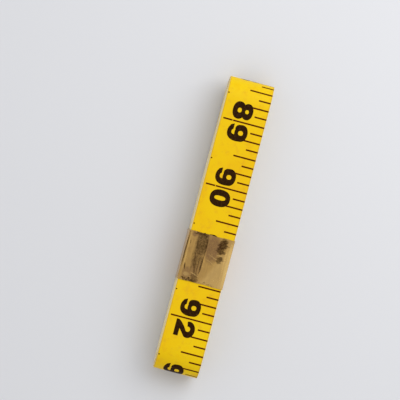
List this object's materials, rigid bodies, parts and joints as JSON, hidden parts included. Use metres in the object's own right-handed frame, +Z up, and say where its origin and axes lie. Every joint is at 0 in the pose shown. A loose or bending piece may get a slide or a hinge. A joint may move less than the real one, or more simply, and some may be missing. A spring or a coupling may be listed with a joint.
{
  "type": "cloth tape measure",
  "caption": "Coated cloth sewing tape measure, wound flat into a long bundle, with folded metal end tips and a foil band that slides along it.",
  "frame": {"origin": "middle of the bundle's footprint, on the surface that it lies on", "axes": "+X along the bundle, the way the inches grow on the upper face; +Y towards the graduated edge; +Z up"},
  "size_m": [0.1134, 0.0176, 0.015],
  "materials": {
    "coated_cloth": "yellow vinyl coating over a fine weave, satin, with dark brown print",
    "gold_foil": "mirror-like metallised gold film, slightly crinkled",
    "tip_metal": "stamped brass sheet, satin",
    "print_ink": "dark brown printing ink, lightly glossy"
  },
  "bodies": {
    "tape_bundle": {"tape": "coated_cloth", "outer_end_tip": "tip_metal", "zero_end_tip": "tip_metal"},
    "band": {"foil_band": "gold_foil"}
  },
  "joints": [
    {"name": "band_slide", "type": "slide", "parent": "tape_bundle", "child": "band", "axis": [1, 0, 0], "range_m": [-0.0127, 0.0544]}
  ]
}
